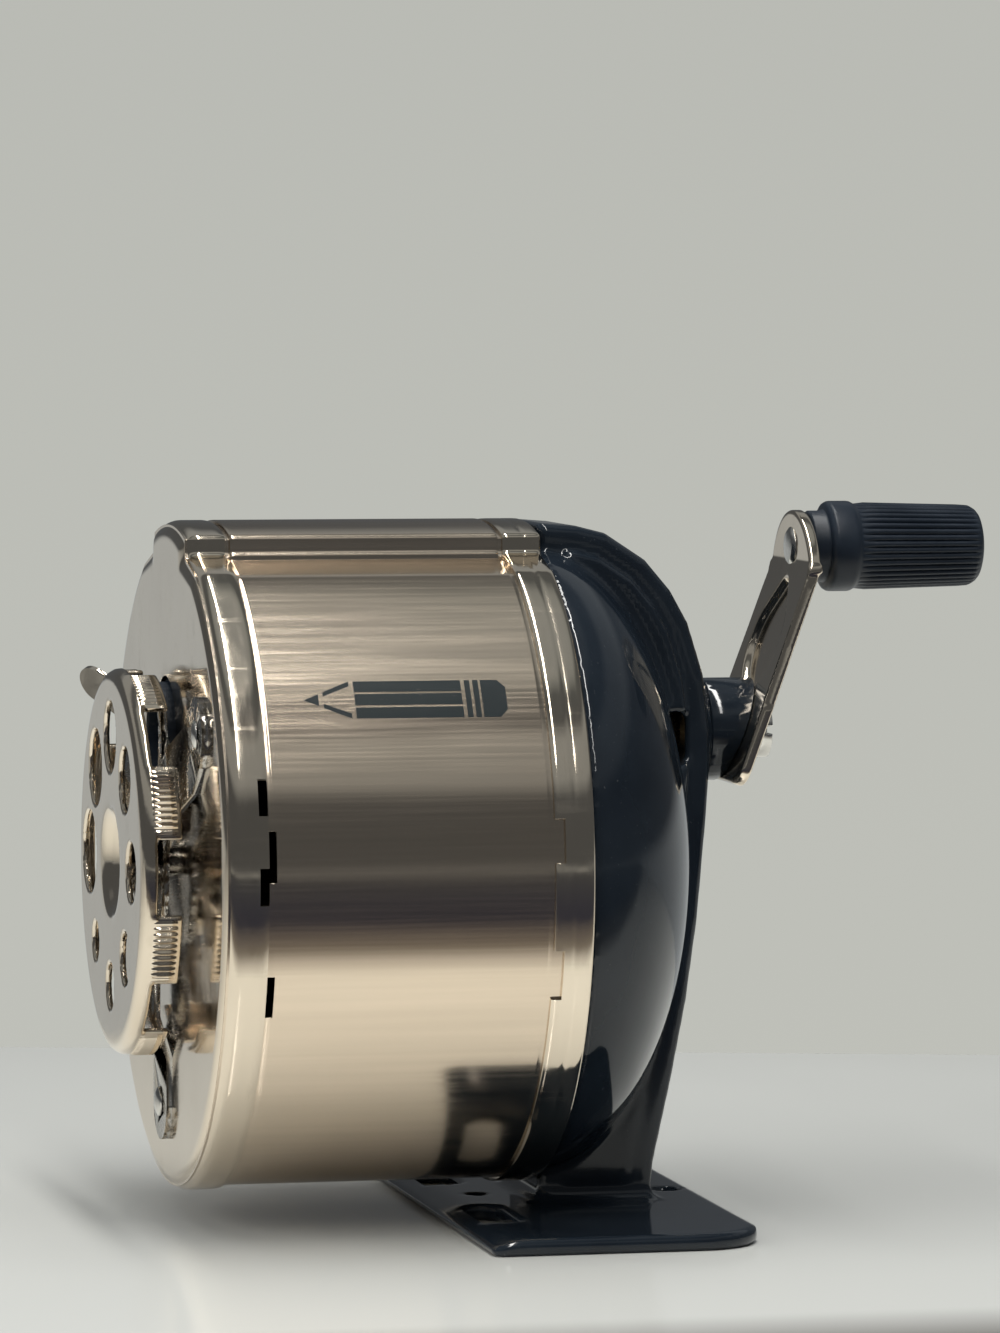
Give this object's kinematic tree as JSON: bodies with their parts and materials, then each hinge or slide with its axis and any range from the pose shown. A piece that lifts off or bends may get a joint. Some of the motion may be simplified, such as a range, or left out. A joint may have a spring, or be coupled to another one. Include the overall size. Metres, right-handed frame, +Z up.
{
  "type": "pencil sharpener",
  "caption": "Hand-cranked desk pencil sharpener: pencil-size dial, pull-off shavings drum, twin helical cutters, cranked arm with knob.",
  "frame": {"origin": "on the mounting face, under the middle of the base plate", "axes": "+Z up, the pencil dial faces -Y, the crank is at +Y, +X completes the right-handed frame"},
  "size_m": [0.087, 0.119, 0.0949],
  "materials": {
    "black_enamel": "glossy black enamel over a casting",
    "nickel": "polished nickel plate with a warm tint",
    "brushed_nickel": "nickel plate brushed along the axis",
    "spring_steel": "plain bright steel",
    "cutter_steel": "hardened ground steel",
    "zinc": "plain cast metal",
    "bronze": "turned bearing bronze",
    "black_plastic": "satin black plastic"
  },
  "bodies": {
    "stand": {"stand_casting": "black_enamel", "ring_gear": "zinc", "ring_gear_screws": "spring_steel", "spindle_bushing": "bronze"},
    "receptacle": {"front_cap": "nickel", "drum_shell": "brushed_nickel", "rear_ring": "nickel", "dial_bracket": "nickel", "bracket_rivets": "nickel", "pencil_guide": "black_plastic", "dial_spring": "spring_steel", "lever_rivet": "nickel"},
    "dial": {"pencil_dial": "nickel", "dial_post": "spring_steel", "post_clip": "spring_steel"},
    "thumb_lever": {"thumb_lever": "nickel"},
    "crank": {"spindle": "spring_steel", "cutter_carrier": "zinc", "carrier_screws": "spring_steel", "cutter_pins": "spring_steel", "crank_hub": "black_plastic", "crank_arm": "nickel", "crank_screw": "spring_steel", "knob_stud": "nickel"},
    "cutter_a": {"cutter_a": "cutter_steel"},
    "cutter_b": {"cutter_b": "cutter_steel"},
    "knob": {"crank_knob": "black_plastic"}
  },
  "joints": [
    {"name": "drum_pull", "type": "slide", "parent": "stand", "child": "receptacle", "axis": [0, -1, 0], "range_m": [0, 0.06]},
    {"name": "dial_turn", "type": "hinge", "parent": "receptacle", "child": "dial", "pos_m": [0, -0.061, 0.0478], "axis": [0, 1, 0], "continuous": true},
    {"name": "lever_swing", "type": "hinge", "parent": "receptacle", "child": "thumb_lever", "pos_m": [-0.0139, -0.055, 0.06076], "axis": [0, 1, 0], "range_deg": [-8, 8]},
    {"name": "crank_turn", "type": "hinge", "parent": "stand", "child": "crank", "pos_m": [0, 0, 0.0643], "axis": [0, 1, 0], "continuous": true},
    {"name": "cutter_a_spin", "type": "hinge", "parent": "crank", "child": "cutter_a", "pos_m": [0.007, 0, 0.0643], "axis": [-0.1908, 0.9816, 0], "continuous": true},
    {"name": "cutter_b_spin", "type": "hinge", "parent": "crank", "child": "cutter_b", "pos_m": [-0.007, 0, 0.0643], "axis": [0.1908, 0.9816, 0], "continuous": true},
    {"name": "knob_spin", "type": "hinge", "parent": "crank", "child": "knob", "pos_m": [0, 0.04, 0.0888], "axis": [0, 1, 0], "continuous": true}
  ],
  "couplings": [
    {"joint": "cutter_a_spin", "follows": "crank_turn", "ratio": -2.1667},
    {"joint": "cutter_b_spin", "follows": "crank_turn", "ratio": -2.1667}
  ]
}
